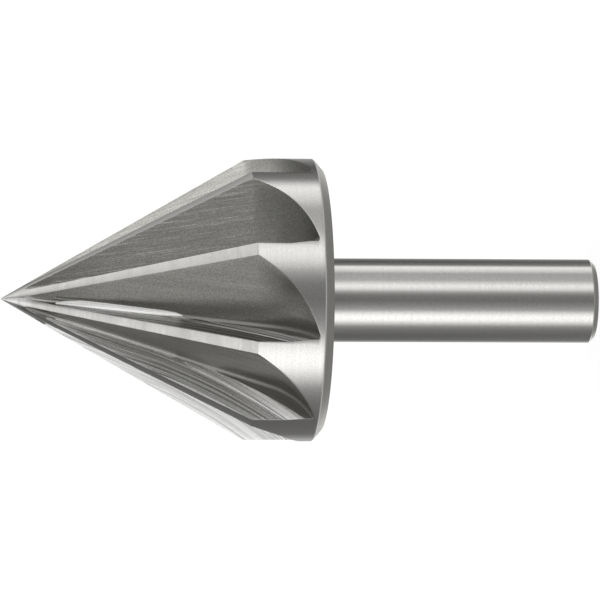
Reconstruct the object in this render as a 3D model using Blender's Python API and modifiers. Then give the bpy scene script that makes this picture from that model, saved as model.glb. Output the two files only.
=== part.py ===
"""Center reamer: a nine-tooth 60 degree cutting cone on a plain round shank, ground from one bar.

It stands on its shank end, with the point up. Every station along the tool is measured from the
point, down the axis, as the grinder's drawing would give it.
"""
import math

import bmesh
import bpy

MM = 0.001

# Overall sizes, in millimetres
LENGTH = 85.5
HEAD_DIAMETER = 40.5
POINT_ANGLE = 60.0
BAND_LENGTH = 9.46          # round band behind the cone
REAR_CHAMFER_RISE = 1.5
REAR_CHAMFER_LENGTH = 1.33
SHANK_DIAMETER = 12.0
SHANK_CHAMFER = 0.75
SHANK_ROOT_RADIUS = 0.5     # where the shank meets the head
POINT_FLAT = 0.1            # diameter of the worn tip

# Teeth
TEETH = 9
LAND_ANGLE = 4.6            # width of a land at the base of the cone, in degrees
FLUTE_TAPER = 9.2           # the flute floor dives under the cone at this angle
FLOOR_HEIGHT = 0.4          # from the axis to the floor line, at the point
FLOOR_OFFSET = 0.6          # from the radial plane to the floor line
FLUTE_START = 3.2           # station where the milling cutter enters
WALL_OFFSET = 0.5           # milled wall, ahead of the radial plane
WALL_RADIUS = 0.45          # between the milled wall and the back face

# How the milling cutter leaves through the band
STOP_GAP = 0.63             # from the end of the flute to the rear chamfer
LIFT_RADIUS = 10.7          # arc of the floor as the cutter lifts
END_SLOPE = 0.54            # rise of the back face at the flute's end, for each millimetre across
TURN_POWER = 1.4            # how gently the back face starts to turn behind the cone

# The cutting face, ground with a round-nosed wheel
FACE_OFFSET = 0.49          # ahead of the radial plane, at the point
FACE_FALL = 0.0083          # and this much less for each millimetre from it
FACE_START = 6.4            # station where the wheel enters
NOSE_WIDTH = 0.7
NOSE_MIDDLE = 16.5          # station where the wheel is deepest
NOSE_BITE = 0.14            # how far it dips under the back face there
NOSE_REACH = 9.0            # half the length of that dip
CREASE_HEIGHT = 0.6         # ground face's lower edge over the floor line, near the point
CREASE_START = 23.9         # short of the flute's end, where that edge starts to rise
CREASE_RADIUS = 46.0
BEVEL_START = 17.4          # short of the flute's end, where the bevel under the face begins
BEVEL_HEIGHT = 0.38
BEVEL_RADIUS = 35.0
BEVEL_BLEND = 1.2           # length over which the round nose turns into the bevel
FACE_GAP = 1.2              # from the end of the wheel's mark to the end of the flute

# Fineness
SEGMENTS = 144
ROUND_STEPS = 5
SHANK_ROOT_STEPS = 3
LIFT_STEPS = 12
BACK_STEPS = 3
NOSE_STEPS = 12
BEVEL_STEPS = 12
CLEAR = 4.0                 # how far the cutters stand out of the blank
PAST_HEEL = 1.108           # the milling cutter's reach across, as a share of the heel's
PAST_END = 0.6              # how far its path is drawn past the flute's end
SHARP_ANGLE = math.radians(20)

HEAD_RADIUS = HEAD_DIAMETER / 2
SHANK_RADIUS = SHANK_DIAMETER / 2
HALF_ANGLE = math.radians(POINT_ANGLE / 2)
PITCH = 2 * math.pi / TEETH
CONE_LENGTH = HEAD_RADIUS / math.tan(HALF_ANGLE)
BAND_END = CONE_LENGTH + BAND_LENGTH
HEAD_LENGTH = BAND_END + REAR_CHAMFER_LENGTH
FLUTE_END = BAND_END - STOP_GAP
FLOOR_ANGLE = HALF_ANGLE - math.radians(FLUTE_TAPER)
CUTTER_TOP = HEAD_RADIUS + 2 * CLEAR
CUTTER_END = FLUTE_END + PAST_END


def new_collection(name):
    collection = bpy.data.collections.new(name)
    bpy.context.scene.collection.children.link(collection)
    return collection


def mesh_object(name, bm, collection):
    mesh = bpy.data.meshes.new(name)
    bm.to_mesh(mesh)
    bm.free()
    obj = bpy.data.objects.new(name, mesh)
    collection.objects.link(obj)
    return obj


def steel():
    """Bright ground tool steel."""
    material = bpy.data.materials.new("ground_steel")
    material.use_nodes = True
    shader = material.node_tree.nodes["Principled BSDF"]
    shader.inputs["Base Color"].default_value = (0.52, 0.51, 0.48, 1.0)
    shader.inputs["Metallic"].default_value = 1.0
    shader.inputs["Roughness"].default_value = 0.32
    return material


def blank_profile():
    """Outer side of the turned blank, from the point down to the shank end, as (radius, station)."""
    tip = POINT_FLAT / 2
    profile = [(0.0, tip / math.tan(HALF_ANGLE)), (tip, tip / math.tan(HALF_ANGLE))]
    profile.append((HEAD_RADIUS, CONE_LENGTH))
    profile.append((HEAD_RADIUS, BAND_END))
    profile.append((HEAD_RADIUS - REAR_CHAMFER_RISE, HEAD_LENGTH))
    for step in range(SHANK_ROOT_STEPS + 1):
        turn = math.pi / 2 * step / SHANK_ROOT_STEPS
        radius = SHANK_RADIUS + SHANK_ROOT_RADIUS * (1 - math.sin(turn))
        profile.append((radius, HEAD_LENGTH + SHANK_ROOT_RADIUS * (1 - math.cos(turn))))
    profile.append((SHANK_RADIUS, LENGTH - SHANK_CHAMFER))
    profile.append((SHANK_RADIUS - SHANK_CHAMFER, LENGTH))
    profile.append((0.0, LENGTH))
    return profile


def turn_blank(collection):
    """The blank, as the lathe leaves it."""
    bm = bmesh.new()
    verts = [bm.verts.new((radius * MM, 0.0, (LENGTH - station) * MM))
             for radius, station in blank_profile()]
    for upper, lower in zip(verts, verts[1:]):
        bm.edges.new((upper, lower))
    blank = mesh_object("center_reamer", bm, collection)
    screw = blank.modifiers.new("turned", "SCREW")
    screw.axis = "Z"
    screw.steps = SEGMENTS
    screw.render_steps = SEGMENTS
    screw.use_merge_vertices = True
    screw.merge_threshold = 0.00001
    return blank


def floor_line(station):
    """Height of the flute floor over the axis: straight, then an arc out through the band."""
    straight = FLOOR_HEIGHT + station * math.tan(FLOOR_ANGLE)
    drop = (HEAD_RADIUS - FLOOR_HEIGHT - FLUTE_END * math.tan(FLOOR_ANGLE)) * math.cos(FLOOR_ANGLE)
    along = math.sqrt(max(2 * LIFT_RADIUS * drop - drop * drop, 0.0))
    foot = FLUTE_END + drop * math.sin(FLOOR_ANGLE) - along * math.cos(FLOOR_ANGLE)
    if station <= foot:
        return straight
    foot_height = FLOOR_HEIGHT + foot * math.tan(FLOOR_ANGLE)
    centre = foot - LIFT_RADIUS * math.sin(FLOOR_ANGLE)
    centre_height = foot_height + LIFT_RADIUS * math.cos(FLOOR_ANGLE)
    reach = LIFT_RADIUS ** 2 - (station - centre) ** 2
    return centre_height - math.sqrt(max(reach, 0.0))


def back_slope(station):
    """Rise of the back face across the flute, which turns steeper through the band."""
    heel = PITCH - math.radians(LAND_ANGLE)
    floor = FLOOR_HEIGHT + CONE_LENGTH * math.tan(FLOOR_ANGLE)
    slope = (HEAD_RADIUS * math.cos(heel) - floor) / (HEAD_RADIUS * math.sin(heel) - FLOOR_OFFSET)
    share = min(max((station - CONE_LENGTH) / (FLUTE_END - CONE_LENGTH), 0.0), 1.0)
    return slope + share ** TURN_POWER * (END_SLOPE - slope)


def back_face(station, across):
    return floor_line(station) + back_slope(station) * (across - FLOOR_OFFSET)


def heel_reach(station):
    """How far across the flute the cutter goes: past the heel, but short of the next tooth."""
    heel = HEAD_RADIUS * math.sin(PITCH - math.radians(LAND_ANGLE))
    return min(station / CONE_LENGTH, 1.0) * heel * PAST_HEEL


def milled_section(station):
    """Section of the milling cutter: wall, root radius and back face, as (across, height)."""
    slope = back_slope(station)
    lean = math.atan(slope)
    centre = WALL_OFFSET + WALL_RADIUS
    height = back_face(station, centre) + WALL_RADIUS / math.cos(lean)
    section = [(WALL_OFFSET, CUTTER_TOP)]
    for step in range(ROUND_STEPS + 1):
        turn = math.pi + (math.pi / 2 + lean) * step / ROUND_STEPS
        section.append((centre + WALL_RADIUS * math.cos(turn), height + WALL_RADIUS * math.sin(turn)))
    root = section[-1][0]
    reach = heel_reach(station)
    for step in range(1, BACK_STEPS + 1):
        across = root + (reach - root) * step / BACK_STEPS
        section.append((across, back_face(station, across)))
    section.append((reach, CUTTER_TOP))
    return section


def face_crease(station):
    """Lower edge of the ground cutting face, over the floor line."""
    past = max(station - (FLUTE_END - CREASE_START), 0.0)
    return CREASE_HEIGHT + past ** 2 / (2 * CREASE_RADIUS)


def bevel_foot(station):
    """Foot of the bevel under the ground face, over the floor line."""
    past = max(station - (FLUTE_END - BEVEL_START), 0.0)
    return BEVEL_HEIGHT + past ** 2 / (2 * BEVEL_RADIUS)


def ground_section(station):
    """Section of the grinding wheel: a round nose near the point, a bevel towards the band."""
    wall = FACE_OFFSET - FACE_FALL * station
    line = FLOOR_HEIGHT + station * math.tan(FLOOR_ANGLE)
    crease = line + face_crease(station)
    centre = wall + NOSE_WIDTH
    away = (station - NOSE_MIDDLE) / NOSE_REACH
    bottom = back_face(station, centre) - NOSE_BITE * (1 - away * away)
    foot = line + bevel_foot(station)
    blend = (station - (FLUTE_END - BEVEL_START - BEVEL_BLEND)) / BEVEL_BLEND
    blend = min(max(blend, 0.0), 1.0)
    section = [(wall, CUTTER_TOP + CLEAR)]
    for step in range(ROUND_STEPS + 2):    # one step past the foot, to run clear of the back face
        share = step / ROUND_STEPS
        turn = math.pi + share * math.pi / 2
        nose = (centre + NOSE_WIDTH * math.cos(turn), crease + (crease - bottom) * math.sin(turn))
        bevel = (wall + share * (WALL_OFFSET - wall), crease + share * (foot - crease))
        section.append((nose[0] + blend * (bevel[0] - nose[0]), nose[1] + blend * (bevel[1] - nose[1])))
    section.append((section[-1][0] + NOSE_WIDTH, CUTTER_TOP + CLEAR))
    return section


def stations(first, last, count):
    return [first + (last - first) * step / count for step in range(count + 1)]


def nose_stations():
    """Stations along the round nose's dip, closer together towards its ends."""
    turns = stations(-math.pi / 2, math.pi / 2, NOSE_STEPS)
    return [NOSE_MIDDLE + NOSE_REACH * math.sin(turn) for turn in turns]


def loft(bm, section_at, places, angle):
    """A closed solid through the sections at these stations, for the tooth at this angle."""
    cosine = math.cos(angle)
    sine = math.sin(angle)
    rings = []
    for station in places:
        ring = []
        for across, height in section_at(station):
            x = height * cosine - across * sine
            y = height * sine + across * cosine
            ring.append(bm.verts.new((x * MM, y * MM, (LENGTH - station) * MM)))
        rings.append(ring)
    for upper, lower in zip(rings, rings[1:]):
        for index in range(len(upper)):
            after = (index + 1) % len(upper)
            bm.faces.new((upper[index], upper[after], lower[after], lower[index]))
    bm.faces.new(reversed(rings[0]))
    bm.faces.new(rings[-1])


def cutter(name, section_at, places, collection):
    """The same cutter at every tooth, as separate closed bodies."""
    bm = bmesh.new()
    for tooth in range(TEETH):
        loft(bm, section_at, places, tooth * PITCH)
    bmesh.ops.recalc_face_normals(bm, faces=bm.faces)
    obj = mesh_object(name, bm, collection)
    obj.hide_render = True
    obj.display_type = "WIRE"
    return obj


def cut(target, tool):
    boolean = target.modifiers.new(tool.name, "BOOLEAN")
    boolean.operation = "DIFFERENCE"
    boolean.solver = "EXACT"
    boolean.object = tool


def shade(obj):
    """Keep the cut mesh, smooth where it was turned and sharp at its ground edges."""
    graph = bpy.context.evaluated_depsgraph_get()
    mesh = bpy.data.meshes.new_from_object(obj.evaluated_get(graph), depsgraph=graph)
    mesh.name = obj.name
    mesh.shade_smooth()
    mesh.set_sharp_from_angle(angle=SHARP_ANGLE)
    obj.modifiers.clear()
    obj.data = mesh


def main():
    for obj in list(bpy.data.objects):
        bpy.data.objects.remove(obj)
    parts = new_collection("center_reamer")
    cutters = new_collection("cutters")
    reamer = turn_blank(parts)
    milled_places = [FLUTE_START] + stations(CONE_LENGTH, CUTTER_END, LIFT_STEPS)
    cut(reamer, cutter("flute_milling", milled_section, milled_places, cutters))
    ground_places = [FACE_START] + nose_stations()
    ground_places += stations(FLUTE_END - BEVEL_START, FLUTE_END - FACE_GAP, BEVEL_STEPS)
    cut(reamer, cutter("face_grinding", ground_section, ground_places, cutters))
    reamer.data.materials.append(steel())
    shade(reamer)


main()
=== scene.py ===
"""Center reamer: the finished steel, the light, the pale floor and the camera.

The tool stands on its shank end with the point up. Stations are measured in millimetres from the
point, down the axis. Each flute is worked out in the frame of its own tooth: across is along the
turning direction from the tooth's radial plane, and height is from the axis.
"""
import math
from collections import namedtuple

import bmesh
import bpy
import numpy as np
from bpy.props import FloatProperty, FloatVectorProperty, PointerProperty
from mathutils import Matrix, Vector


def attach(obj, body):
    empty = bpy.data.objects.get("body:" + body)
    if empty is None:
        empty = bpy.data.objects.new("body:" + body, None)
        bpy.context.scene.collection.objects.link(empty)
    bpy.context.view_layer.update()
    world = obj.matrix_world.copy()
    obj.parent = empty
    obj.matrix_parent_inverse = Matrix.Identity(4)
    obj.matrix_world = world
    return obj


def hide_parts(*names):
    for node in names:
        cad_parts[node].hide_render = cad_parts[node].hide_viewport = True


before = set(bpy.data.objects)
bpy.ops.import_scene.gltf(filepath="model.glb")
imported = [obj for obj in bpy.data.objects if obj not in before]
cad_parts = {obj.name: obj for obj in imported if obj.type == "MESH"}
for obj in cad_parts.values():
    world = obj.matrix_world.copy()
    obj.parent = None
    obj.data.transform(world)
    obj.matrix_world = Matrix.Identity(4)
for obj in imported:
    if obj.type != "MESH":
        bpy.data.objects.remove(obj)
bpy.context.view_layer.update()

bl_info = {
    "name": "Center reamer",
    "version": (1, 0, 0),
    "blender": (4, 5, 0),
    "location": "3D View > Sidebar > Reamer",
    "description": "Builds a nine-tooth center reamer and a plain studio round it",
    "category": "Add Mesh",
}

MM = 0.001
NODE = "center_reamer"
TEETH = 9
PITCH = 2 * math.pi / TEETH

# Turned blank, in millimetres
REAR_CHAMFER_RISE = 1.5
REAR_CHAMFER_LENGTH = 1.33
SHANK_CHAMFER = 0.75
SHANK_ROOT_RADIUS = 0.5
POINT_RADIUS = 0.05
TURNED_EDGE = 0.11  # how far a turned edge is eased
LAND_BREAK = 0.02  # and the edge between the cone and the band

# Milled flute
FLUTE_START = 3.2  # station where the flutes open
FLUTE_TAPER = 9.2  # between the floor and the cone, in degrees
FLOOR_HEIGHT = 0.4  # from the axis to the floor line, at the point
FLOOR_OFFSET = 0.6  # from the tooth's radial plane to the floor line
WALL_OFFSET = 0.5  # and to the milled wall
WALL_RADIUS = 0.45  # between the wall and the back face
STOP_GAP = 0.63  # from the end of the flute to the rear chamfer
LIFT_RADIUS = 10.7  # arc of the floor as the cutter lifts
END_SLOPE = 0.54  # rise of the back face there, for each millimetre across
TURN_POWER = 1.4  # how gently the back face starts to turn behind the cone

# Ground cutting face
FACE_OFFSET = 0.49  # ahead of the radial plane, at the point
FACE_FALL = 0.0083  # and this much less for each millimetre from it
FACE_START = 6.4  # station where the wheel enters
FACE_EASE = 1.4  # length over which the wheel bites in
NOSE_LIFT = 0.55  # how far its nose starts over the flute's root
NOSE_START_SHARE = 0.3  # and how wide it starts, against its full width
NOSE_WIDTH = 0.7
NOSE_MIDDLE = 16.5  # station where the wheel is deepest
NOSE_BITE = 0.14  # how far it dips under the back face there
NOSE_REACH = 9.0  # half the length of that dip
NOSE_END = NOSE_MIDDLE + NOSE_REACH
CREASE_HEIGHT = 0.6  # the face's lower edge over the floor line, near the point
CREASE_START = 23.9  # short of the flute's end, where that edge starts to rise
CREASE_RADIUS = 46.0
BEVEL_START = 17.4  # short of the flute's end, where the bevel begins
BEVEL_HEIGHT = 0.38
BEVEL_RADIUS = 39.0
BEVEL_BLEND = 1.2  # length over which the round nose turns into the bevel
LENS_START = 7.71  # station where the face's nose has cut through the milled root
LENS_LEAD = 1.6  # its finish fades in over this length before that
LENS_OVERLAP = 0.2  # share of the back that it takes there
FACE_GAP = 0.7  # from the end of the wheel's mark to the end of the flute
EDGE_BREAK = 0.02  # how far the cutting edges are eased
HEEL_BREAK = 0.007  # and the heels behind the flutes
LARGEST_BREAK = 0.25  # the most that an eased edge takes of a narrow land or flute

# Painted highlight at the root of a cutting face, where its round nose catches the light: by station,
# how far it starts and ends below the lower edge of the ground surface
PATCH_STATIONS = (7.7, 8.3, 9.0, 10.2, 11.9, 16.5, 20.0, 23.0, 24.4, 25.3)
PATCH_FIRST = (0.85, 0.65, 0.45, 0.25, 0.05, 0.0, 0.0, 0.0, 0.12, 0.5)
PATCH_LAST = (1.15, 1.18, 1.22, 1.25, 1.2, 1.15, 1.05, 0.9, 0.75, 0.5)
PATCH_RISE = 0.1  # depth over which it comes up
PATCH_FADE = 0.4  # and over which it fades
PATCH_LEAST = 0.02

# Painted highlight on the milled root before the ground face starts
ROOT_SHARE = 0.7
ROOT_START = 2.9  # station where it begins to come up
ROOT_RISE = 1.5
ROOT_END = 9.0  # station where it has faded out
ROOT_FADE = 1.3
ROOT_FIRST = 0.3  # where across the root it begins
ROOT_LAST = 0.72  # and ends
ROOT_EASE = 0.2

# Painted highlight on the root beside the bevel
ROOT_LINE = 0.3
ROOT_LINE_EASE = 0.35
ROOT_LINE_RISE = 1.0
ROOT_LINE_END = 41.5  # station where it has faded out
ROOT_LINE_FADE = 8.0

# Changes of painted highlight and tone along the tool
CREASE_LINE = 0.08  # how far the painted highlight along the crease spreads where it starts
CREASE_SPREAD = 0.009  # and how much further with each millimetre
CREASE_LEAD = 1.0  # it starts this far before the end of the nose's dip
CREASE_RISE = 4.0  # and comes up over this length
POLISH_LENGTH = 4.0  # length over which the bevel grows as fine as the face
FACE_GAIN = 1.2  # how much more painted highlight a cutting face has where it starts
FACE_GAIN_END = 13.0  # station where it no longer does
FACE_GAIN_FADE = 5.0
BEVEL_RISE = 14.0  # length over which a bevel's painted highlight comes up
BACK_DIM = 0.5  # tone of the back faces at the point
BACK_DIM_END = 15.0  # station from where it is full
LINE_FADE = 0.85  # how much of the single milling lines is gone in the band
LINE_FADE_LENGTH = 4.0  # length round the base of the cone over which it goes

# Painted highlight and shade of each cutting face, patch, bevel, crease and milling line, by tooth, as
# the light falls on it. The first tooth is on +X, and the camera sees the teeth from the fifth on.
# painted shade on the cutting faces of the sixth and seventh teeth
FACE_PAINTED_SHADE = (1.0, 1.0, 1.0, 1.0, 1.0, 0.94, 0.68, 1.0, 1.0)
POINT_SHINE = (0.3, 0.3, 0.3, 0.3, 0.15, 0.15, 0.5, 0.0, 0.0)
POINT_END = (8.0, 8.0, 8.0, 8.0, 3.2, 3.2, 5.2, 8.0, 8.0)
FACE_SHINE = (0.2, 0.3, 0.1, 0.25, 1.0, 0.25, 0.0, 0.1, 0.25)
PATCH_SHINE = (0.6, 0.7, 0.5, 0.6, 0.9, 0.2, 0.85, 0.5, 0.6)
BEVEL_SHINE = (0.1, 0.2, 0.1, 0.1, 0.6, 0.4, 0.2, 0.1, 0.1)
CREASE_SHINE = (0.6, 0.7, 0.6, 0.5, 0.9, 0.75, 0.8, 0.6, 0.6)
LINE_SHINE = (0.5, 0.7, 0.4, 0.6, 0.5, 0.3, 0.1, 1.0, 0.6)

# How the grinding and milling lines lie in the materials' noise
GRAIN_RISE = 0.7  # a millimetre up the surface, against one across
GRAIN_STEP = 7.3  # from one tooth's lines to the next tooth's
GRAIN_START = 0.4  # off the planes of the noise's own grid

# Noise of the materials: detail and roughness, then its use
FINE_LINES = (3.0, 0.65)
BROAD_LINES = (2.0, 0.5)
BROAD_SCALE = 0.31  # against the fine lines
SPOTS = (2.0, 0.6)
SPOTS_SCALE = 5.5  # to a millimetre
SPOTS_RANGE = (0.3, 0.7)
SINGLE_LINES = (3.0, 0.75)
SINGLE_STRETCH = (0.12, 6.5, 1.0)
SINGLE_RANGE = (0.53, 0.72)
HIGHLIGHT_STREAKS = (0.68, 1.24)  # tone of the painted highlights, from a dark line to a light one
HIGHLIGHT_SPOTS = (0.93, 1.07)  # and from a dark spot to a light one
GLOSS_RANGE = (0.65, 1.35)
GLOSS_CHANGE = 0.04  # of roughness, by a line in ground or milled steel
TURNED_GLOSS_CHANGE = 0.015
FACE_SHADE = 0.75  # colour of the cutting faces, against the other ground steel
EDGE_HIGHLIGHT_SHADE = 0.65  # and of the painted highlight on the edge behind the band, against the highlight colour
NORMAL_WEIGHT = 80

# Fineness of the cross-sections
SCAN_STEPS = 1600  # rays over one pitch, to find where a flute begins and ends
SCAN_HALVINGS = 18
CURVE_STEPS = 40
ARC_STEPS = 16
NOSE_STEPS = 24
NOSE_OVERRUN = 1.2  # how far the nose runs on inside the back face
CLEAR = 4.0  # how far the cutters reach outside the blank
CUT_DEPTH = 1e-6  # a cut is at least this deep
TINY = 1e-6
HAIR = 0.01  # between two cross-sections at a sudden change
BAND_GAP = 0.05  # from the end of the flutes to the first plain ring
WELD = 0.2e-6  # vertices nearer than this are joined, in metres

# Fineness round one pitch, and the columns where the flute's features lie
LAND_COLUMNS = 16
WALL_COLUMNS = 5
NOSE_COLUMNS = 9
CORNER_COLUMNS = 2
MILLED_WALL_COLUMNS = 2
ROOT_COLUMNS = 8
BACK_COLUMNS = 9
CREASE_COLUMN = LAND_COLUMNS + CORNER_COLUMNS + WALL_COLUMNS
FOOT_COLUMN = CREASE_COLUMN + NOSE_COLUMNS + 1
BACK_COLUMN = FOOT_COLUMN + MILLED_WALL_COLUMNS + ROOT_COLUMNS
COLUMNS = BACK_COLUMN + BACK_COLUMNS + CORNER_COLUMNS + 1
FILLET_STEPS = 4  # in the root radius between head and shank
BEND_STEPS = 4  # in an eased turned edge
END_RING = 1 / 3  # innermost ring on the shank's end, against its radius

# One ring of the tool: the points of one pitch, its station, its zone if it is turned, whether its
# crease and its foot are sharp, and the painted highlight of each column
Row = namedtuple("Row", "points station turned sharp shine")


class ReamerSizes(bpy.types.PropertyGroup):
    """Main sizes of the tool."""
    length: FloatProperty(
        name="Length", description="From the shank end to the sharp point",
        default=0.0855, min=0.05, max=0.2, precision=5, unit="LENGTH")
    head_diameter: FloatProperty(
        name="Head diameter", description="Across the round band behind the cone",
        default=0.0405, min=0.02, max=0.08, precision=5, unit="LENGTH")
    point_angle: FloatProperty(
        name="Point angle", description="Angle of the whole cone at the point",
        default=math.radians(60), min=math.radians(50), max=math.radians(70), subtype="ANGLE")
    band_length: FloatProperty(
        name="Band length", description="Length of the round band behind the cone",
        default=0.00946, min=0.006, max=0.02, precision=5, unit="LENGTH")
    shank_diameter: FloatProperty(
        name="Shank diameter", description="Across the round shank",
        default=0.012, min=0.006, max=0.02, precision=5, unit="LENGTH")
    land_angle: FloatProperty(
        name="Land angle", description="Width of a land at the base of the cone",
        default=math.radians(4.6), min=math.radians(3), max=math.radians(8), subtype="ANGLE")


class ReamerFinish(bpy.types.PropertyGroup):
    """Colours of the steel and of the stage."""
    ground: FloatVectorProperty(
        name="Ground steel", description="Lands, band and shank",
        default=(0.635, 0.629, 0.618), size=3, min=0.0, max=1.0, subtype="COLOR")
    milled: FloatVectorProperty(
        name="Milled steel", description="Back faces of the flutes",
        default=(0.34, 0.336, 0.318), size=3, min=0.0, max=1.0, subtype="COLOR")
    # Colour of the painted highlights on the cutting faces, their roots, bevels, creases and milled
    # roots
    highlight_colour: FloatVectorProperty(
        name="Fresh ground root", description="Root of each cutting face, left bright by the wheel",
        default=(0.95, 0.948, 0.94), size=3, min=0.0, max=1.0, subtype="COLOR")
    turned: FloatVectorProperty(
        name="Turned steel", description="Chamfers and the face behind the head",
        default=(0.42, 0.415, 0.39), size=3, min=0.0, max=1.0, subtype="COLOR")
    floor: FloatVectorProperty(
        name="Floor", description="Floor under the tool",
        default=(0.9, 0.9, 0.9), size=3, min=0.0, max=1.0, subtype="COLOR")


class Measures:
    """The sizes in millimetres, with those that follow from them."""

    def __init__(self, sizes):
        self.length = sizes.length / MM
        self.head_radius = sizes.head_diameter / MM / 2
        self.half_angle = sizes.point_angle / 2
        self.shank_radius = sizes.shank_diameter / MM / 2
        self.heel_angle = PITCH - sizes.land_angle
        self.cone_length = self.head_radius / math.tan(self.half_angle)
        self.band_end = self.cone_length + sizes.band_length / MM
        self.head_length = self.band_end + REAR_CHAMFER_LENGTH
        self.flute_end = self.band_end - STOP_GAP
        self.floor_rise = math.tan(self.half_angle - math.radians(FLUTE_TAPER))
        self.point_station = POINT_RADIUS / math.tan(self.half_angle)

    def blank_radius(self, station):
        """Radius of the cone or the band, with a hair taken off the edge between them."""
        slope = math.tan(self.half_angle)
        eased = max(LAND_BREAK - abs(station - self.cone_length), 0.0) ** 2 * slope / (4 * LAND_BREAK)
        return min(station * slope, self.head_radius) - eased


def part_way(value, start, length):
    """How far a value is past a start, as a share of a length. A negative length counts down."""
    return min(max((value - start) / length, 0.0), 1.0)


def ramp(value, start, length):
    """The same, with its beginning and its end eased."""
    share = part_way(value, start, length)
    return share * share * (3 - 2 * share)


def floor_line(m, station):
    """Height of the flute floor over the axis: straight, then an arc out through the band."""
    lean = math.atan(m.floor_rise)
    straight = FLOOR_HEIGHT + station * m.floor_rise
    drop = (m.head_radius - FLOOR_HEIGHT - m.flute_end * m.floor_rise) * math.cos(lean)
    along = math.sqrt(max(2 * LIFT_RADIUS * drop - drop * drop, 0.0))
    foot = m.flute_end + drop * math.sin(lean) - along * math.cos(lean)
    if station <= foot:
        return straight
    centre = foot - LIFT_RADIUS * math.sin(lean)
    centre_height = FLOOR_HEIGHT + foot * m.floor_rise + LIFT_RADIUS * math.cos(lean)
    return centre_height - math.sqrt(max(LIFT_RADIUS ** 2 - (station - centre) ** 2, 0.0))


def back_slope(m, station):
    """Rise of the back face across the flute, which turns steeper through the band."""
    floor = FLOOR_HEIGHT + m.cone_length * m.floor_rise
    heel_height = m.head_radius * math.cos(m.heel_angle)
    slope = (heel_height - floor) / (m.head_radius * math.sin(m.heel_angle) - FLOOR_OFFSET)
    share = part_way(station, m.cone_length, m.flute_end - m.cone_length)
    return slope + share ** TURN_POWER * (END_SLOPE - slope)


def back_face(m, station, across):
    """Height of the back face."""
    return floor_line(m, station) + back_slope(m, station) * (across - FLOOR_OFFSET)


def milled_curve(m, station):
    """Wall, root radius and back face of the milled flute, and the angles where the root lies."""
    lean = math.atan(back_slope(m, station))
    centre = WALL_OFFSET + WALL_RADIUS
    height = back_face(m, station, centre) + WALL_RADIUS / math.cos(lean)
    curve = [(WALL_OFFSET, m.head_radius + CLEAR)]
    for turn in np.linspace(math.pi, 1.5 * math.pi + lean, ARC_STEPS + 1):
        curve.append((centre + WALL_RADIUS * math.cos(turn), height + WALL_RADIUS * math.sin(turn)))
    root = curve[-1]
    curve.append((m.head_radius, back_face(m, station, m.head_radius)))
    start = math.atan2(WALL_OFFSET, height)
    return np.array(curve), start, math.atan2(*root)


def crease_height(m, station):
    """Height of the crease between a cutting face and its nose or bevel."""
    line = FLOOR_HEIGHT + station * m.floor_rise
    past = max(station - (m.flute_end - CREASE_START), 0.0)
    return line + CREASE_HEIGHT + past ** 2 / (2 * CREASE_RADIUS)


def ground_curve(m, station):
    """Cutting face with its round nose or its bevel, as (across, height), and the crease's angle."""
    bite = part_way(station, FACE_START, FACE_EASE)
    wall = WALL_OFFSET + bite * (FACE_OFFSET - FACE_FALL * station - WALL_OFFSET)
    crease = crease_height(m, station)
    width = NOSE_WIDTH * (NOSE_START_SHARE + bite * (1 - NOSE_START_SHARE))
    centre = wall + width
    away = (station - NOSE_MIDDLE) / NOSE_REACH
    bottom = back_face(m, station, centre) - NOSE_BITE * (1 - away * away) + (1 - bite) * NOSE_LIFT
    past = max(station - (m.flute_end - BEVEL_START), 0.0)
    foot = FLOOR_HEIGHT + station * m.floor_rise + BEVEL_HEIGHT + past ** 2 / (2 * BEVEL_RADIUS)
    blend = part_way(station, m.flute_end - BEVEL_START - BEVEL_BLEND, BEVEL_BLEND)
    curve = [(wall, m.head_radius + CLEAR)]
    for share in np.linspace(0.0, NOSE_OVERRUN, NOSE_STEPS + 1):
        turn = math.pi + share * math.pi / 2
        nose = Vector((centre + width * math.cos(turn), crease + (crease - bottom) * math.sin(turn)))
        bevel = Vector((wall + share * (WALL_OFFSET - wall), crease + share * (foot - crease)))
        curve.append(tuple(nose.lerp(bevel, blend)))
    return np.array(curve), math.atan2(wall, crease)


def ray_distance(curve, angles):
    """How far from the axis a ray at each angle meets a curve, or infinity where it misses."""
    turns = np.arctan2(curve[:, 0], curve[:, 1])
    place = np.clip(np.searchsorted(turns, angles) - 1, 0, len(curve) - 2)
    first = curve[place]
    step = curve[place + 1] - first
    cross = np.sin(angles) * step[:, 1] - np.cos(angles) * step[:, 0]
    reach = (first[:, 0] * step[:, 1] - first[:, 1] * step[:, 0]) / np.where(cross == 0, 1e-12, cross)
    missed = (angles < turns[0]) | (angles > turns[-1])
    return np.where(missed, np.inf, reach)


def last_angle(test, low, high):
    """Where a test that holds at low stops holding on the way to high."""
    for _ in range(SCAN_HALVINGS):
        middle = (low + high) / 2
        if test(middle):
            low = middle
        else:
            high = middle
    return low


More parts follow.
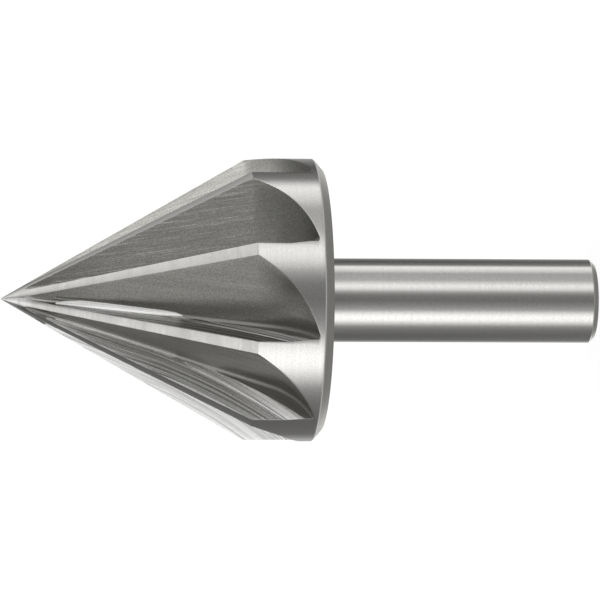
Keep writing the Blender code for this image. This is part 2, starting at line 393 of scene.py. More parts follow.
class FluteSection:
    """The cut through one flute at a station.

    It runs from the cutting edge to the heel. Its features are the crease under the cutting face,
    the foot of the nose or bevel, and the two ends of the milled root, all as angles from the
    tooth's radial plane.
    """

    def __init__(self, m, station):
        self.radius = m.blank_radius(station)
        self.milled, root_start, root_end = milled_curve(m, station)
        self.ground = None
        crease = 0.0
        if FACE_START <= station <= m.flute_end - FACE_GAP:
            self.ground, crease = ground_curve(m, station)
        scan = np.linspace(0.0, PITCH, SCAN_STEPS + 1)
        inside = np.flatnonzero(self.surface(scan) < self.radius - CUT_DEPTH)
        self.open = len(inside) > 2 and inside[0] > 0
        self.has_crease = self.has_foot = False
        if not self.open:
            self.middle = None
            return
        first, last = inside[0], min(inside[-1], SCAN_STEPS - 1)
        self.edge = last_angle(lambda a: not self.is_cut(a), scan[first - 1], scan[first])
        self.heel = last_angle(self.is_cut, scan[last], scan[last + 1])
        self.middle = (self.edge + self.heel) / 2
        ground = np.flatnonzero(self.is_ground(scan)) if self.ground is not None else ()
        self.has_foot = len(ground) > 0 and station > LENS_START
        self.has_crease = len(ground) > 0 and self.edge < crease < self.heel
        self.features = [crease if self.has_crease else self.edge]
        foot = self.features[0]
        if self.has_foot:
            last = ground[-1]
            foot = last_angle(lambda a: self.is_ground(np.array([a]))[0], scan[last], scan[last + 1])
        elif station < LENS_START:
            past_root = root_end + LENS_OVERLAP * (self.heel - root_end)
            grown = ramp(station, LENS_START - LENS_LEAD, LENS_LEAD)
            foot = self.edge + grown * (past_root - self.edge)
        for angle in (foot, root_start, root_end):
            self.features.append(min(max(angle, self.features[-1]), self.heel))
        self.root = (root_start, root_end)

    def surface(self, angles):
        """How far from the axis the flute's surface is at each angle."""
        reach = ray_distance(self.milled, angles)
        if self.ground is not None:
            reach = np.minimum(reach, ray_distance(self.ground, angles))
        return reach

    def is_cut(self, angle):
        """Whether the flute is open at an angle."""
        return self.surface(np.array([angle]))[0] < self.radius

    def is_ground(self, angles):
        """Whether the wheel has cut deeper than the milling cutter, for each angle."""
        ground = ray_distance(self.ground, angles)
        return (ground < ray_distance(self.milled, angles)) & (ground < self.radius)

    def outline(self):
        """Points from the cutting edge to the heel, and how far along the features and the root lie."""
        marks = [self.edge] + self.features + [self.heel]
        spans = [np.linspace(low, high, CURVE_STEPS + 1) for low, high in zip(marks, marks[1:])]
        angles = np.unique(np.concatenate(spans))
        reach = np.minimum(self.surface(angles), self.radius)
        points = np.column_stack((reach * np.sin(angles), reach * np.cos(angles)))
        steps = np.hypot(*np.diff(points, axis=0).T)
        lengths = np.concatenate(([0.0], np.cumsum(steps)))
        marks = np.interp(self.features, angles, lengths)
        return points, lengths, marks, np.interp(self.root, angles, lengths)


def column_zones():
    """The zone of the strip that follows each column of one tooth."""
    zones = ["land"] * (LAND_COLUMNS + CORNER_COLUMNS)
    zones += ["face"] * WALL_COLUMNS
    zones += ["nose"] * (NOSE_COLUMNS + 1)
    zones += ["milled_wall"] * MILLED_WALL_COLUMNS
    zones += ["root"] * ROOT_COLUMNS
    zones += ["back"] * (BACK_COLUMNS + CORNER_COLUMNS)
    zones += ["land"]
    return zones


def polar(radius, angle):
    """A point of a tooth's frame, as (across, height)."""
    return np.array((radius * math.sin(angle), radius * math.cos(angle)))


def bend(first, corner, last):
    """Points of an eased corner."""
    points = []
    for share in (1 / 3, 2 / 3):
        rest = 1 - share
        points.append(first * rest ** 2 + corner * 2 * share * rest + last * share ** 2)
    return points


def plain_ring(radius, middle):
    """Points of one pitch where no flute is open, and their painted highlight, which is none."""
    points = [polar(radius, angle) for angle in np.linspace(middle - PITCH, middle, LAND_COLUMNS)]
    return points + [points[-1]] * (COLUMNS - LAND_COLUMNS), np.zeros((COLUMNS, 4))


def flute_places(marks, line, start, end):
    """How far along a flute's outline each of its columns lies."""
    spans = (
        (start, marks[0] - line, WALL_COLUMNS - 1),
        (marks[0] - line, marks[0], 1),
        (marks[0], marks[0] + line, 1),
        (marks[0] + line, marks[1], NOSE_COLUMNS),
        (marks[1], marks[2], MILLED_WALL_COLUMNS),
        (marks[2], marks[3], ROOT_COLUMNS),
        (marks[3], end, BACK_COLUMNS),
    )
    places = [start]
    for low, high, count in spans:
        places += list(np.linspace(low, high, count + 1)[1:])
    return places


def patch_shine(station, depth):
    """Painted highlight at the root of a cutting face, by the depth below its last ground edge."""
    if not PATCH_STATIONS[0] < station < PATCH_STATIONS[-1]:
        return 0.0
    first = np.interp(station, PATCH_STATIONS, PATCH_FIRST)
    last = np.interp(station, PATCH_STATIONS, PATCH_LAST)
    fade = min(PATCH_FADE, max(last - first, PATCH_LEAST) / 2)
    return ramp(depth, first - PATCH_RISE, PATCH_RISE) * ramp(depth, last, -fade)


def flute_shine(station, place, marks, root):
    """Painted highlight of a point of the flute as face, as patch or root, as bevel and as crease."""
    face = patch = bevel = line = 0.0
    if place <= marks[0]:
        face = 1 + FACE_GAIN * ramp(station, FACE_GAIN_END, -FACE_GAIN_FADE)
    elif place <= marks[1]:
        patch = patch_shine(station, marks[1] - place)
        bevel = ramp(station, NOSE_END, BEVEL_RISE)
    across = (place - root[0]) / max(root[1] - root[0], TINY)
    if station < ROOT_END:
        strip = ramp(across, ROOT_FIRST, ROOT_EASE) * ramp(across, ROOT_LAST, -ROOT_EASE)
        strip *= ramp(station, ROOT_START, ROOT_RISE) * ramp(station, ROOT_END, -ROOT_FADE)
        patch = max(patch, strip * ROOT_SHARE)
    elif marks[2] < place < marks[3]:
        line = ROOT_LINE * ramp(across, 0.0, ROOT_LINE_EASE) * ramp(across, 1.0, -ROOT_LINE_EASE)
        line *= ramp(station, NOSE_END - ROOT_LINE_RISE, ROOT_LINE_RISE)
        line *= ramp(station, ROOT_LINE_END, -ROOT_LINE_FADE)
    return face, patch, bevel, line


def tooth_columns(section, station, middle):
    """Points round one pitch, from land to heel, and the painted highlight of each."""
    radius = section.radius
    if not section.open:
        return plain_ring(radius, middle)
    points, lengths, marks, root = section.outline()
    total = lengths[-1]
    ease = min(EDGE_BREAK, total * LARGEST_BREAK)
    heel_ease = min(HEEL_BREAK, total * LARGEST_BREAK)
    marks = np.clip(marks, ease, total - heel_ease)
    line = CREASE_LINE + CREASE_SPREAD * max(station - NOSE_END, 0.0)
    line = min(line, (marks[0] - ease) / 2, (marks[1] - marks[0]) / 2)
    places = flute_places(marks, line, ease, total - heel_ease)
    flute = list(np.column_stack([np.interp(places, lengths, side) for side in points.T]))

    land = section.edge - section.heel + PITCH
    heel_turn = min(heel_ease / radius, land * LARGEST_BREAK)
    first = section.heel - PITCH + heel_turn
    last = section.edge - min(ease / radius, land * LARGEST_BREAK)
    columns = [polar(radius, angle) for angle in np.linspace(first, last, LAND_COLUMNS)]
    columns += bend(columns[-1], polar(radius, section.edge), flute[0])
    shine = np.zeros((COLUMNS, 4))
    for column, place in enumerate(places, len(columns)):
        shine[column] = flute_shine(station, place, marks, root)
    shine[CREASE_COLUMN, 3] = ramp(station, NOSE_END - CREASE_LEAD, CREASE_RISE)
    columns += flute
    columns += bend(flute[-1], polar(radius, section.heel), polar(radius, section.heel + heel_turn))
    return columns, shine


def head_stations(m):
    """Stations down the cone and the band, closer where the shape turns quickly.

    Each span is from one station to another, with the distance between two cross-sections.
    """
    spans = (
        (m.point_station + 2 * HAIR, FLUTE_START, 0.6),
        (FLUTE_START, 6.0, 0.14),
        (6.0, FACE_START - HAIR, 0.13),
        (FACE_START, 7.3, 0.15),
        (7.4, 9.0, 0.12),
        (9.2, 22.0, 0.65),
        (22.5, 24.6, 0.3),
        (24.7, 26.6, 0.1),
        (27.0, m.cone_length - LAND_BREAK - HAIR, 0.4),
        (m.cone_length - LAND_BREAK, m.cone_length + LAND_BREAK, 0.1),
        (m.cone_length + LAND_BREAK + HAIR, 41.0, 0.25),
        (41.0, 43.0, 0.14),
        (43.07, m.flute_end, 0.06),
    )
    places = []
    for low, high, step in spans:
        count = max(round((high - low) / step), 1)
        places += list(np.linspace(low, high, count + 1))
    return sorted(set(round(float(place), 5) for place in places))


def turned_rings(m):
    """The turned surfaces behind the flutes, as (radius, station, zone of the strip that follows)."""
    corners = [(m.head_radius, m.flute_end + BAND_GAP, "band"), (m.head_radius, m.band_end, "chamfer"),
               (m.head_radius - REAR_CHAMFER_RISE, m.head_length, "shoulder")]
    for step in range(FILLET_STEPS + 1):
        turn = math.radians(90 * step / FILLET_STEPS)
        radius = m.shank_radius + SHANK_ROOT_RADIUS * (1 - math.sin(turn))
        zone = "shoulder" if step < FILLET_STEPS else "shank"
        corners.append((radius, m.head_length + SHANK_ROOT_RADIUS * (1 - math.cos(turn)), zone))
    corners.append((m.shank_radius, m.length - SHANK_CHAMFER, "chamfer"))
    corners.append((m.shank_radius - SHANK_CHAMFER, m.length, "end"))
    corners.append((m.shank_radius * END_RING, m.length, "end"))
    # Both edges of the rear chamfer and of the shank's chamfer
    eased = {1, 2, len(corners) - 3, len(corners) - 2}
    rings = []
    for index, (radius, station, zone) in enumerate(corners):
        here = Vector((radius, station))
        if index not in eased:
            rings.append((radius, station, zone))
            continue
        before = Vector(corners[index - 1][:2])
        after = Vector(corners[index + 1][:2])
        start = here + (before - here).normalized() * TURNED_EDGE
        end = here + (after - here).normalized() * TURNED_EDGE
        # The first eased ring behind the band takes the painted edge highlight
        last_zone = "edge" if index == 1 else corners[index - 1][2]
        for step in range(BEND_STEPS + 1):
            share = step / BEND_STEPS
            point = start.lerp(here, share).lerp(here.lerp(end, share), share)
            rings.append((point.x, point.y, zone if share == 1.0 else last_zone))
    return rings


def tool_rows(m):
    """Every ring of the tool, from the point to the shank's end."""
    stations = head_stations(m)
    sections = [FluteSection(m, station) for station in stations]
    middles = [section.middle for section in sections if section.open]
    rows = []
    for station, section in zip(stations, sections):
        middle = middles[0] if station < m.cone_length else middles[-1]
        points, shine = tooth_columns(section, station, middle)
        rows.append(Row(points, station, None, (section.has_crease, section.has_foot), shine))
    for radius, station, zone in turned_rings(m):
        points, shine = plain_ring(radius, middles[-1])
        rows.append(Row(points, station, zone, (False, False), shine))
    return rows


def tone_of(column, tooth, station):
    """Painted shade of a column's plain steel: a cutting face darker by tooth, and the back faces
    darker towards the point.
    """
    if CREASE_COLUMN - WALL_COLUMNS < column <= CREASE_COLUMN:
        return FACE_PAINTED_SHADE[tooth]
    if column > BACK_COLUMN:
        return min(BACK_DIM + (1 - BACK_DIM) * station / BACK_DIM_END, 1.0)
    return 1.0


def add_ring(bm, layers, m, row):
    """The vertices of one ring, with the values that the materials read."""
    grain, painted_shine, lined, polished, tone = layers
    station = row.station
    crease = crease_height(m, station)
    floor = floor_line(m, min(station, m.flute_end))
    unfaded = 1 - LINE_FADE * ramp(station, m.cone_length - LINE_FADE_LENGTH / 2, LINE_FADE_LENGTH)
    ring = []
    for tooth in range(TEETH):
        cosine = math.cos(tooth * PITCH)
        sine = math.sin(tooth * PITCH)
        levels = (FACE_SHINE[tooth], PATCH_SHINE[tooth], BEVEL_SHINE[tooth], CREASE_SHINE[tooth])
        point = POINT_SHINE[tooth] * ramp(station, POINT_END[tooth], -POINT_END[tooth] / 2)
        for column, ((across, height), shines) in enumerate(zip(row.points, row.shine)):
            x = height * cosine - across * sine
            y = height * sine + across * cosine
            vert = bm.verts.new((x * MM, y * MM, (m.length - station) * MM))
            guide = crease if column <= FOOT_COLUMN else floor
            line = across + (height - guide) * GRAIN_RISE
            vert[grain] = (station, line, tooth * GRAIN_STEP + GRAIN_START)
            shine = [level * value for level, value in zip(levels, shines)]
            # Painted highlight by tooth and station, painted glint on the milling lines by tooth, and a
            # tone that is painted shade on some cutting faces, with the back faces darker towards the
            # point
            vert[painted_shine] = min(max(point, *shine), 1.0)
            vert[lined] = LINE_SHINE[tooth] * unfaded
            vert[polished] = ramp(station, NOSE_END, POLISH_LENGTH)
            vert[tone] = tone_of(column, tooth, station)
            ring.append(vert)
    return ring


def add_strips(bm, m, rows, grid, slots):
    """The faces between the rings, each with its zone's finish, and the sharp edges."""
    zones = column_zones()
    for above, below, upper, lower in zip(rows, rows[1:], grid, grid[1:]):
        for index in range(len(upper)):
            after = (index + 1) % len(upper)
            face = bm.faces.new((upper[index], lower[index], lower[after], upper[after]))
            face.smooth = True
            zone = above.turned or zones[index % COLUMNS]
            if zone == "land" and above.station >= m.cone_length:
                zone = "band"
            face.material_index = slots[zone]
        for column, here, there in zip((CREASE_COLUMN, FOOT_COLUMN), above.sharp, below.sharp):
            for place in range(column, TEETH * COLUMNS, COLUMNS):
                if here and there:
                    bm.edges.get((upper[place], lower[place])).smooth = False


def reamer_mesh(m, slots):
    """The whole tool as one closed mesh, with a finish for each zone."""
    bm = bmesh.new()
    layers = [bm.verts.layers.float_vector.new("grain")]
    layers += [bm.verts.layers.float.new(name) for name in ("painted_shine", "lined", "polished", "tone")]
    rows = tool_rows(m)
    grid = [add_ring(bm, layers, m, row) for row in rows]
    add_strips(bm, m, rows, grid, slots)
    bm.faces.new(grid[0]).material_index = slots["land"]
    bm.faces.new(list(reversed(grid[-1]))).material_index = slots["end"]
    bmesh.ops.remove_doubles(bm, verts=bm.verts, dist=WELD)
    bmesh.ops.recalc_face_normals(bm, faces=bm.faces)
    mesh = bpy.data.meshes.new("reamer_body")
    bm.to_mesh(mesh)
    bm.free()
    return mesh


def link(tree, source, output, target, socket):
    """Join an output to an input."""
    tree.links.new(source.outputs[output], target.inputs[socket])


def add_node(tree, kind, **values):
    """A node with its fields set; a name that is no field is an input socket."""
    node = tree.nodes.new(kind)
    for name, value in values.items():
        if hasattr(node, name):
            setattr(node, name, value)
        else:
            node.inputs[name.replace("_", " ")].default_value = value
    return node


def map_range(tree, source, output, low, high, first, last):
    """A source's values from low to high turned into values from first to last."""
    node = add_node(tree, "ShaderNodeMapRange", From_Min=low, From_Max=high, To_Min=first, To_Max=last)
    link(tree, source, output, node, "Value")
    return node


def noise(tree, place, output, scale, detail, roughness):
    """Noise with its own scale along each axis."""
    mapping = add_node(tree, "ShaderNodeMapping", Scale=scale)
    link(tree, place, output, mapping, "Vector")
    node = add_node(tree, "ShaderNodeTexNoise", Scale=1.0, Detail=detail, Roughness=roughness)
    link(tree, mapping, "Vector", node, "Vector")
    return node


def attribute(tree, name):
    """A value that the mesh holds at its vertices."""
    return add_node(tree, "ShaderNodeAttribute", attribute_name=name)


def combine(tree, operation, first, first_output, second, second_output):
    """A sum, product or the like of two values."""
    node = add_node(tree, "ShaderNodeMath", operation=operation)
    link(tree, first, first_output, node, 0)
    link(tree, second, second_output, node, 1)
    return node


def multiply(tree, first, second, output=0):
    """The product of two values."""
    return combine(tree, "MULTIPLY", first, 0, second, output)


def mix_colours(tree, share, output, first, first_output, second, second_output):
    """One colour turning into another."""
    node = add_node(tree, "ShaderNodeMix", data_type="RGBA")
    link(tree, share, output, node, 0)
    link(tree, first, first_output, node, 6)
    link(tree, second, second_output, node, 7)
    return node


def mix_shaders(tree, share, output, first, second):
    """One shader turning into another."""
    node = add_node(tree, "ShaderNodeMixShader")
    link(tree, share, output, node, 0)
    link(tree, first, 0, node, 1)
    link(tree, second, 0, node, 2)
    return node


def steel(name, colour, roughness, stretch, streaks, relief, spread=0.0, turn=0.0, metal=1.0, own=True,
          speckle=0.08, scratches=0.0, highlight_colour=None, polish=None, reach=0.3):
    """Steel with drawn-out grinding or milling lines.

    stretch is how many lines there are to a millimetre along, across and through the surface,
    streaks how much the lines change the colour, and relief how deep they are in metres. spread
    and turn are how far the gloss is drawn out, and which way. own is whether the lines follow the
    mesh's grain, or lie in the tool's own axes. speckle is how much fine spots change the colour,
    scratches how much single fine lines stand out, the argument after it the colour of the painted
    highlights, and polish that of the polished ones. The shorter the reach, the sharper the lines.
    """
    material = bpy.data.materials.new(name)
    material.use_nodes = True
    tree = material.node_tree
    shader = tree.nodes["Principled BSDF"]
    shader.inputs["Metallic"].default_value = metal
    shader.inputs["Anisotropic"].default_value = spread
    shader.inputs["Anisotropic Rotation"].default_value = turn
    surface = add_node(tree, "ShaderNodeTexCoord")
    if own:
        place = attribute(tree, "grain")
        output = "Vector"
        scale = stretch
    else:
        place = surface
        output = "Object"
        scale = tuple(value / MM for value in stretch)
    fine = noise(tree, place, output, scale, *FINE_LINES)
    broad = noise(tree, place, output, tuple(value * BROAD_SCALE for value in scale), *BROAD_LINES)
    both = combine(tree, "ADD", fine, "Fac", broad, "Fac")
    shade = map_range(tree, both, "Value", 1 - reach, 1 + reach, 1 - streaks, 1 + streaks)
    spots = noise(tree, surface, "Object", (SPOTS_SCALE / MM,) * 3, *SPOTS)
    dapple = map_range(tree, spots, "Fac", *SPOTS_RANGE, 1 - speckle, 1 + speckle)
    level = multiply(tree, shade, dapple)
    if scratches:
        single = noise(tree, place, output, SINGLE_STRETCH, *SINGLE_LINES)
        shown = map_range(tree, single, "Fac", *SINGLE_RANGE, 0.0, scratches)
        strength = add_node(tree, "ShaderNodeMath", operation="MULTIPLY_ADD")
        link(tree, shown, "Result", strength, 0)
        link(tree, attribute(tree, "lined"), "Fac", strength, 1)
        strength.inputs[2].default_value = 1.0
        level = multiply(tree, level, strength)
    if own:
        level = multiply(tree, level, attribute(tree, "tone"), "Fac")
    tint = add_node(tree, "ShaderNodeVectorMath", operation="SCALE")
    tint.inputs[0].default_value = colour
    link(tree, level, 0, tint, "Scale")
    if polish:
        base = add_node(tree, "ShaderNodeMix", data_type="RGBA")
        base.inputs[6].default_value = (*colour, 1.0)
        base.inputs[7].default_value = (*polish, 1.0)
        link(tree, attribute(tree, "polished"), "Fac", base, 0)
        link(tree, base, 2, tint, 0)
    # Painted highlight: where the mesh asks for it, the colour turns pale and matt
    if highlight_colour:
        painted_shine = attribute(tree, "painted_shine")
        light = add_node(tree, "ShaderNodeVectorMath", operation="SCALE")
        light.inputs[0].default_value = highlight_colour
        highlight_shade = map_range(tree, both, "Value", 1 - reach, 1 + reach, *HIGHLIGHT_STREAKS)
        highlight_dapple = map_range(tree, spots, "Fac", *SPOTS_RANGE, *HIGHLIGHT_SPOTS)
        link(tree, multiply(tree, highlight_shade, highlight_dapple), 0, light, "Scale")
        mixed = mix_colours(tree, painted_shine, "Fac", tint, "Vector", light, "Vector")
        link(tree, mixed, 2, shader, "Base Color")
        metallic = map_range(tree, painted_shine, "Fac", 0.0, 1.0, metal, 0.0)
        link(tree, metallic, "Result", shader, "Metallic")
    else:
        link(tree, tint, "Vector", shader, "Base Color")
    change = GLOSS_CHANGE if own else TURNED_GLOSS_CHANGE
    gloss = map_range(tree, both, "Value", *GLOSS_RANGE, roughness + change, roughness - change)
    link(tree, gloss, "Result", shader, "Roughness")
    bump = add_node(tree, "ShaderNodeBump", Strength=1.0, Distance=relief)
    link(tree, fine, "Fac", bump, "Height")
    link(tree, bump, "Normal", shader, "Normal")
    if spread:
        tangent = add_node(tree, "ShaderNodeTangent", direction_type="RADIAL", axis="Z")
        link(tree, tangent, "Tangent", shader, "Tangent")
    return material


def finishes(colours):
    """Every finish on the tool, by zone."""
    ground = tuple(colours.ground)
    milled = tuple(colours.milled)
    highlight_colour = tuple(colours.highlight_colour)
    turned = tuple(colours.turned)
    ground_face = tuple(value * FACE_SHADE for value in ground)
    # Colour of the painted highlight along the band's rear edge
    edge_highlight_colour = tuple(value * EDGE_HIGHLIGHT_SHADE for value in highlight_colour)
    along = (0.07, 15.0, 1.0)
    round_about = (0.03, 0.03, 7.0)
    # Lands, cutting faces, roots of the faces and milled roots turn to painted highlight where the mesh
    # asks for it
    return {
        "land": steel("ground_land", ground, 0.30, (2.5, 0.3, 1.0), 0.04, 2e-6, highlight_colour=highlight_colour),
        "face": steel("ground_cutting_face", ground_face, 0.34, (0.12, 15.0, 1.0), 0.9, 8e-6,
                      speckle=0.32, highlight_colour=highlight_colour, reach=0.24),
        "nose": steel("ground_face_root", milled, 0.38, along, 0.8, 5e-6,
                      speckle=0.26, highlight_colour=highlight_colour, polish=ground, reach=0.2),
        "milled_wall": steel("milled_wall", milled, 0.6, along, 0.15, 3e-6),
        "root": steel("milled_root", milled, 0.7, along, 0.12, 3e-6, highlight_colour=highlight_colour),
        "back": steel("milled_back_face", milled, 0.31, (0.08, 3.6, 1.0), 0.08, 4e-6,
                      speckle=0.3, scratches=1.3),
        "band": steel("ground_band", ground, 0.22, round_about, 0.02, 0.8e-6, 0.7, 0.25, own=False),
        # painted highlight along the band's rear edge, lighter and less metallic than the chamfer
        "edge": steel("painted_edge_highlight", edge_highlight_colour, 0.5, round_about, 0.05, 1e-6, metal=0.8, own=False),
        "chamfer": steel("turned_chamfer", turned, 0.38, round_about, 0.05, 3e-6, own=False),
        "shoulder": steel("turned_shoulder", turned, 0.42, round_about, 0.05, 3e-6, own=False),
        "shank": steel("ground_shank", ground, 0.2, round_about, 0.02, 0.8e-6, 0.8, 0.25, own=False),
        "end": steel("turned_shank_end", turned, 0.42, round_about, 0.05, 3e-6, own=False),
    }


class REAMER_OT_body(bpy.types.Operator):
    """Build the steel body: cone, nine flutes, band, chamfers and shank"""
    bl_idname = "reamer.body"
    bl_label = "Reamer body"

    def execute(self, context):
        m = Measures(context.scene.reamer_sizes)
        materials = finishes(context.scene.reamer_finish)
        slots = {zone: index for index, zone in enumerate(materials)}
        mesh = reamer_mesh(m, slots)
        for material in materials.values():
            mesh.materials.append(material)
        body = bpy.data.objects.new("reamer_body", mesh)
        context.scene.collection.objects.link(body)
        weighted = body.modifiers.new("even shading", "WEIGHTED_NORMAL")
        weighted.keep_sharp = True
        weighted.weight = NORMAL_WEIGHT
        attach(body, "root")
        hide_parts(NODE)
        return {"FINISHED"}


# Camera, as the photo's outline gives it: angles in radians, places in metres, lens in millimetres
VIEW_TURN = math.radians(-102.7)
VIEW_RISE = math.radians(6.22)
VIEW_ROLL = 0.0039
VIEW_DISTANCE = 0.780
VIEW_HEIGHT = 0.0425
VIEW_LENS = 326.52
VIEW_SENSOR = 36.0
VIEW_LIMIT = 40.0

# Floor and lamp, in metres and watts
FLOOR_SIZE = 12.0
FLOOR_WHITE = 1.03
FLOOR_SHARE = 0.9  # how much of that white the camera sees, against the lit floor
LAMP_SIZE = 0.7
LAMP_HEIGHT = 0.95
LAMP_POWER = 4.5
SOFT_LIGHT = 0.95  # of the surroundings, on everything but gloss
WHITE = (1.0, 1.0, 1.0, 1.0)

# What the polished steel sees round it, from below upward: the elevations where a layer fades in,
# then how bright it is by the angle from the camera's side. All angles are in degrees.
STUDIO_LAYERS = (
    (-90, -90, ((-180, 0.4), (180, 0.4))),
    (-38, -28, (
        (-180, 1.3), (-140, 1.3), (-110, 0.3), (100, 0.3), (130, 0.85), (150, 0.85), (180, 1.3))),
    (-20, -10, (
        (-180, 0.5), (-160, 0.5), (-142, 0.17), (-118, 0.13), (-88, 0.25), (-76, 0.42), (-66, 1.05),
        (-56, 1.8), (-46, 1.95), (-38, 1.6), (-26, 0.58), (-14, 0.33), (0, 0.17), (14, 0.23),
        (23, 0.52), (32, 1.33), (41, 1.62), (50, 1.12), (58, 0.66), (80, 0.54), (89, 0.98), (104, 1.4),
        (109, 0.98), (115, 0.22), (136, 0.09), (152, 0.24), (180, 0.5))),
    (2, 14, (
        (-180, 0.4), (-144, 0.42), (-128, 0.13), (-82, 0.13), (-74, 0.45), (-64, 0.8), (-50, 0.8),
        (-30, 0.5), (20, 0.55), (50, 0.6), (78, 1.2), (88, 2.0), (106, 2.0), (117, 0.8), (130, 0.4),
        (146, 0.2), (180, 0.35))),
    (21, 30, (
        (-180, 0.3), (-144, 0.3), (-128, 0.1), (-82, 0.1), (-74, 0.45), (-64, 0.8), (-50, 0.8),
        (-30, 0.5), (20, 0.55), (50, 0.6), (78, 1.0), (92, 1.1), (106, 0.85), (120, 0.5), (130, 0.4),
        (146, 0.2), (180, 0.25))),
    (36, 46, (
        (-180, 0.03), (-110, 0.03), (-90, 0.12), (-82, 0.2), (-72, 0.75), (-60, 1.45), (-45, 1.5),
        (-30, 0.25), (30, 0.25), (44, 1.1), (86, 1.2), (98, 0.6), (112, 0.2), (146, 0.2), (180, 0.1))),
    (56, 66, ((-180, 0.06), (-80, 0.06), (-50, 0.25), (180, 0.25))),
)
STUDIO_PEAK = 2.0
STUDIO_TINT = (1.0, 0.997, 0.985)


def studio_ramp(tree, turn, stops):
    """Brightness by the angle from the camera's side."""
    strip = add_node(tree, "ShaderNodeValToRGB")
    link(tree, turn, "Result", strip, "Fac")
    elements = strip.color_ramp.elements
    while len(elements) > 1:
        elements.remove(elements[0])
    for index, (degrees, level) in enumerate(stops):
        position = (degrees + 180) / 360
        element = elements[0] if index == 0 else elements.new(position)
        element.position = position
        element.color = (*(level / STUDIO_PEAK * tint for tint in STUDIO_TINT), 1.0)
    return strip


def studio_world(scene):
    """Pale surroundings, with light panels and dark cards that only the steel's gloss sees."""
    world = bpy.data.worlds.new("studio")
    scene.world = world
    world.use_nodes = True
    world.cycles.sampling_method = "NONE"
    tree = world.node_tree
    tree.nodes.clear()
    place = add_node(tree, "ShaderNodeTexCoord")
    turned = add_node(tree, "ShaderNodeVectorRotate", rotation_type="Z_AXIS", Angle=-VIEW_TURN)
    link(tree, place, "Generated", turned, "Vector")
    parts = add_node(tree, "ShaderNodeSeparateXYZ")
    link(tree, turned, "Vector", parts, "Vector")
    angle = combine(tree, "ARCTAN2", parts, "Y", parts, "X")
    turn = map_range(tree, angle, "Value", -math.pi, math.pi, 0.0, 1.0)
    whole = studio_ramp(tree, turn, STUDIO_LAYERS[0][2])
    output = "Color"
    for first, last, stops in STUDIO_LAYERS[1:]:
        layer = studio_ramp(tree, turn, stops)
        rise = add_node(tree, "ShaderNodeMapRange", interpolation_type="SMOOTHSTEP",
                        From_Min=math.sin(math.radians(first)), From_Max=math.sin(math.radians(last)))
        link(tree, parts, "Z", rise, "Value")
        whole = mix_colours(tree, rise, "Result", whole, output, layer, "Color")
        output = 2
    studio = add_node(tree, "ShaderNodeBackground", Strength=STUDIO_PEAK)
    link(tree, whole, 2, studio, "Color")
    soft = add_node(tree, "ShaderNodeBackground", Color=WHITE, Strength=SOFT_LIGHT)
    white = add_node(tree, "ShaderNodeBackground", Color=WHITE, Strength=1.0)
    path = add_node(tree, "ShaderNodeLightPath")
    lit = mix_shaders(tree, path, "Is Glossy Ray", soft, studio)
    seen = combine(tree, "MAXIMUM", path, "Is Camera Ray", path, "Is Transmission Ray")
    shown = mix_shaders(tree, seen, 0, lit, white)
    link(tree, shown, 0, add_node(tree, "ShaderNodeOutputWorld"), "Surface")


def floor_material(colour):
    """Pale floor that the camera sees as white, with the tool's shadow on it."""
    material = bpy.data.materials.new("pale_floor")
    material.use_nodes = True
    tree = material.node_tree
    tree.nodes.clear()
    matt = add_node(tree, "ShaderNodeBsdfDiffuse", Color=(*colour, 1.0))
    white = add_node(tree, "ShaderNodeEmission", Color=WHITE, Strength=FLOOR_WHITE)
    path = add_node(tree, "ShaderNodeLightPath")
    direct = combine(tree, "MAXIMUM", path, "Is Camera Ray", path, "Is Glossy Ray")
    seen = combine(tree, "MAXIMUM", direct, 0, path, "Is Transmission Ray")
    share = add_node(tree, "ShaderNodeMath", operation="MULTIPLY")
    link(tree, seen, 0, share, 0)
    share.inputs[1].default_value = FLOOR_SHARE
    mixed = mix_shaders(tree, share, 0, matt, white)
    link(tree, mixed, 0, add_node(tree, "ShaderNodeOutputMaterial"), "Surface")
    return material


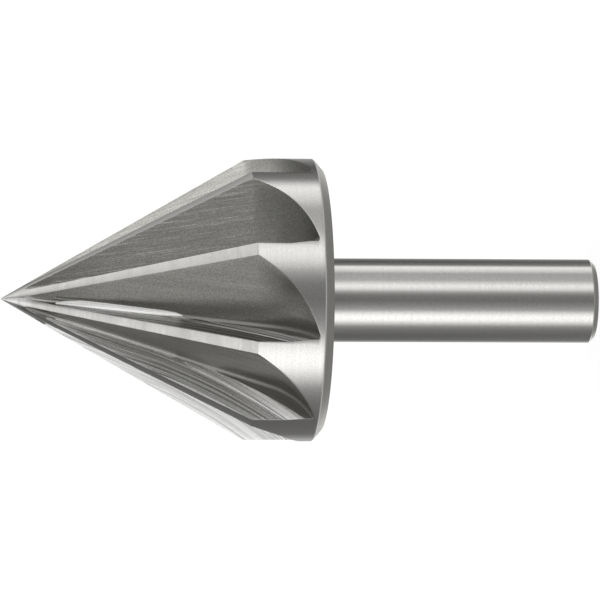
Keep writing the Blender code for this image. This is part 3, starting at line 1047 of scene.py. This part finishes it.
class REAMER_OT_stage(bpy.types.Operator):
    """Build the floor, the light and the camera"""
    bl_idname = "reamer.stage"
    bl_label = "Stage"

    def execute(self, context):
        scene = context.scene
        bm = bmesh.new()
        bmesh.ops.create_grid(bm, x_segments=1, y_segments=1, size=FLOOR_SIZE)
        mesh = bpy.data.meshes.new("floor")
        bm.to_mesh(mesh)
        bm.free()
        mesh.materials.append(floor_material(scene.reamer_finish.floor))
        floor = bpy.data.objects.new("floor", mesh)
        scene.collection.objects.link(floor)
        floor.visible_glossy = False

        lamp = bpy.data.lights.new("overhead_panel", "AREA")
        lamp.shape = "DISK"
        lamp.size = LAMP_SIZE
        lamp.energy = LAMP_POWER
        panel = bpy.data.objects.new("overhead_panel", lamp)
        panel.location = (0.0, 0.0, LAMP_HEIGHT)
        panel.visible_camera = False
        panel.visible_glossy = False
        scene.collection.objects.link(panel)

        back = Vector((math.cos(VIEW_TURN) * math.cos(VIEW_RISE),
                       math.sin(VIEW_TURN) * math.cos(VIEW_RISE), math.sin(VIEW_RISE)))
        up = Vector((-math.sin(VIEW_TURN), math.cos(VIEW_TURN), 0.0))
        right = up.cross(back)
        level = (right * math.cos(VIEW_ROLL) + up * math.sin(VIEW_ROLL),
                 up * math.cos(VIEW_ROLL) - right * math.sin(VIEW_ROLL), back)
        data = bpy.data.cameras.new("camera")
        data.lens = VIEW_LENS
        data.sensor_width = VIEW_SENSOR
        data.clip_end = VIEW_LIMIT
        camera = bpy.data.objects.new("camera", data)
        matrix = Matrix(level).transposed().to_4x4()
        matrix.translation = Vector((0.0, 0.0, VIEW_HEIGHT)) + back * VIEW_DISTANCE
        camera.matrix_world = matrix
        scene.collection.objects.link(camera)
        scene.camera = camera
        studio_world(scene)
        scene.view_settings.view_transform = "Standard"
        return {"FINISHED"}


class VIEW3D_PT_reamer(bpy.types.Panel):
    """Sizes, colours and build buttons"""
    bl_label = "Center reamer"
    bl_space_type = "VIEW_3D"
    bl_region_type = "UI"
    bl_category = "Reamer"

    def draw(self, context):
        for group in (context.scene.reamer_sizes, context.scene.reamer_finish):
            for name in group.__annotations__:
                self.layout.prop(group, name)
        for operator in (REAMER_OT_body, REAMER_OT_stage):
            self.layout.operator(operator.bl_idname)


CLASSES = (ReamerSizes, ReamerFinish, REAMER_OT_body, REAMER_OT_stage, VIEW3D_PT_reamer)


def register():
    """Add the classes and the scene's settings."""
    for item in CLASSES:
        bpy.utils.register_class(item)
    bpy.types.Scene.reamer_sizes = PointerProperty(type=ReamerSizes)
    bpy.types.Scene.reamer_finish = PointerProperty(type=ReamerFinish)


def unregister():
    """Take them out again."""
    del bpy.types.Scene.reamer_finish
    del bpy.types.Scene.reamer_sizes
    for item in reversed(CLASSES):
        bpy.utils.unregister_class(item)


def main():
    """Build everything: the stage, then the tool's body."""
    register()
    bpy.ops.reamer.stage()
    bpy.ops.reamer.body()


if __name__ == "__main__":
    main()
